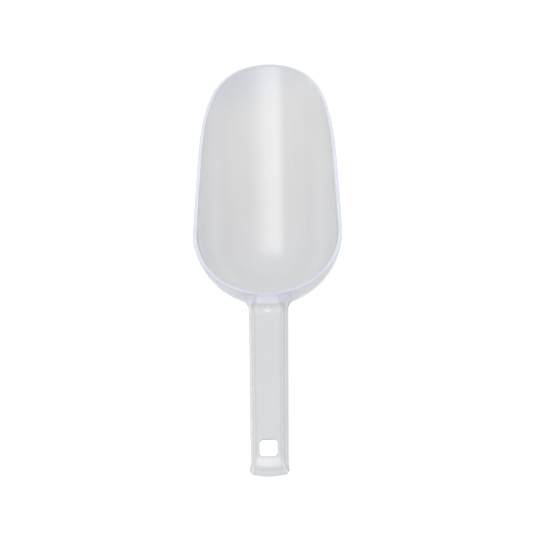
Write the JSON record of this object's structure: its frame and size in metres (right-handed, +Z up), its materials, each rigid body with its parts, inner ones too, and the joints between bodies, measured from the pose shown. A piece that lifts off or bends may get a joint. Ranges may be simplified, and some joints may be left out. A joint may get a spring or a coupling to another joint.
{
  "type": "ice scoop",
  "caption": "Translucent moulded plastic scoop: half-round trough with a ball-shaped back and sloping rim, hollow-backed flat handle with a rounded-square hang hole.",
  "frame": {"origin": "on the surface that the scoop stands on, under the middle of its overall box", "axes": "+Y along the trough towards the lip, -Y along the handle, +Z up, +X to the right; the trough's floor line is level"},
  "size_m": [0.0798, 0.239, 0.0706],
  "materials": {
    "scoop": "translucent, smooth gloss"
  },
  "bodies": {
    "root": {"scoop": "scoop"}
  },
  "joints": []
}
